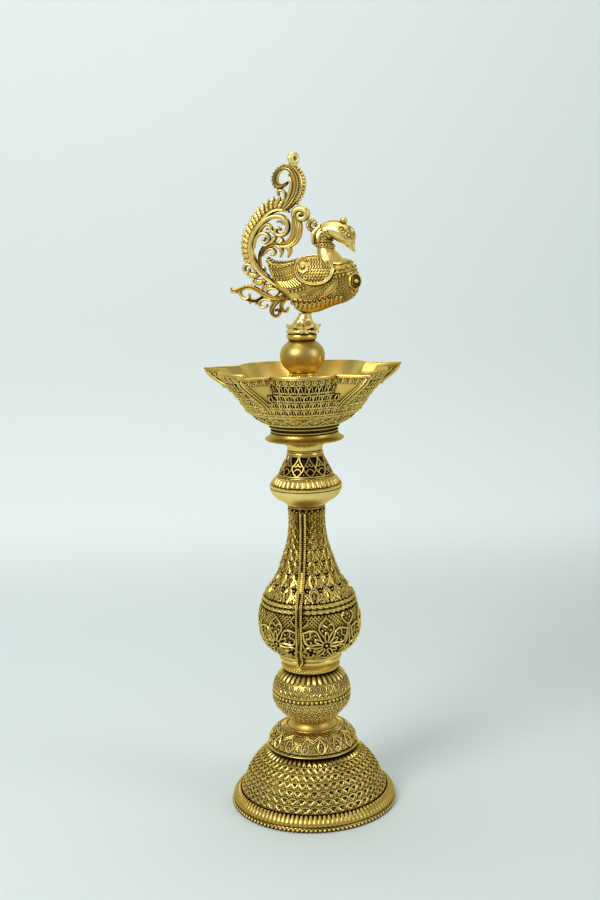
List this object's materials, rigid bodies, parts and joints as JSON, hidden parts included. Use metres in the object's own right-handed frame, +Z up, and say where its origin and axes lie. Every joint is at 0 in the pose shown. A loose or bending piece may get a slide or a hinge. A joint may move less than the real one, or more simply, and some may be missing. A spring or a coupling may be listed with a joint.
{
  "type": "oil lamp",
  "caption": "Standing brass oil lamp: domed foot, turned knob, round-bellied vase and pinched-spout bowl under a peacock finial; screwed sections lift apart.",
  "frame": {"origin": "centre of the underside of the foot, on the surface the lamp stands on", "axes": "+Z up the lamp's axis, +X the way the peacock faces, +Y away from the front, towards the first spout"},
  "size_m": [0.1216, 0.1172, 0.4001],
  "materials": {
    "cast_brass": "antique gold brass, satin, dark in the recesses and bright on the raised ornament",
    "bright_brass": "smooth brass, softly polished",
    "dark_brass": "oxidised nearly black, matt",
    "rod_steel": "plain zinc-plated steel",
    "seal_fibre": "brown pressed fibre, matt"
  },
  "bodies": {
    "foot": {"foot_base_sheet": "bright_brass", "foot_bead_rim": "cast_brass", "foot_gadroon_band": "cast_brass", "foot_dome": "cast_brass", "shoulder_lip_ring": "cast_brass", "shoulder_dome": "cast_brass", "foot_collar": "bright_brass", "foot_washer": "rod_steel", "foot_nut": "rod_steel", "foot_rod": "rod_steel"},
    "knob": {"knob_lower_half": "cast_brass", "knob_bead_row": "cast_brass", "knob_upper_half": "cast_brass", "knob_rod": "rod_steel"},
    "vase": {"vase_collar": "cast_brass", "vase_bulb": "cast_brass", "rope_band_lower": "cast_brass", "rope_band_upper": "cast_brass", "vase_neck": "cast_brass", "seam_strap": "cast_brass", "vase_rod": "rod_steel"},
    "crown": {"crown_lower_shell": "cast_brass", "crown_ridge": "bright_brass", "crown_upper_shell": "cast_brass", "lattice_cage": "cast_brass", "lattice_core": "dark_brass", "crown_collar": "bright_brass", "crown_neck": "bright_brass", "crown_rod": "rod_steel"},
    "bowl": {"bowl_flange": "bright_brass", "bowl_foot_rings": "bright_brass", "bowl_seal": "seal_fibre", "bowl_pan": "bright_brass", "filigree_panel_1": "cast_brass", "filigree_panel_2": "cast_brass", "filigree_panel_3": "cast_brass", "filigree_panel_4": "cast_brass", "filigree_panel_5": "cast_brass", "spout_keel_1": "cast_brass", "spout_keel_2": "cast_brass", "spout_keel_3": "cast_brass", "spout_keel_4": "cast_brass", "spout_keel_5": "cast_brass"},
    "finial": {"finial_neck": "bright_brass", "finial_ball": "bright_brass", "finial_ring": "bright_brass", "finial_rod": "rod_steel", "leaf_cup": "cast_brass", "peacock_body": "cast_brass", "wing_right": "cast_brass", "wing_left": "cast_brass", "breast_boss": "cast_brass", "peacock_neck": "cast_brass", "neck_ring": "cast_brass", "peacock_head": "cast_brass", "crest_knob": "cast_brass", "crest_curl": "cast_brass", "tail_plume": "cast_brass", "tail_tip_scroll": "cast_brass", "hanging_loop": "cast_brass"}
  },
  "joints": [
    {"name": "knob_lift", "type": "slide", "parent": "foot", "child": "knob", "axis": [0, 0, 1], "range_m": [0, 0.014]},
    {"name": "vase_lift", "type": "slide", "parent": "knob", "child": "vase", "axis": [0, 0, 1], "range_m": [0, 0.014]},
    {"name": "crown_lift", "type": "slide", "parent": "vase", "child": "crown", "axis": [0, 0, 1], "range_m": [0, 0.014]},
    {"name": "bowl_lift", "type": "slide", "parent": "crown", "child": "bowl", "axis": [0, 0, 1], "range_m": [0, 0.03]},
    {"name": "finial_lift", "type": "slide", "parent": "bowl", "child": "finial", "axis": [0, 0, 1], "range_m": [0, 0.014]}
  ]
}
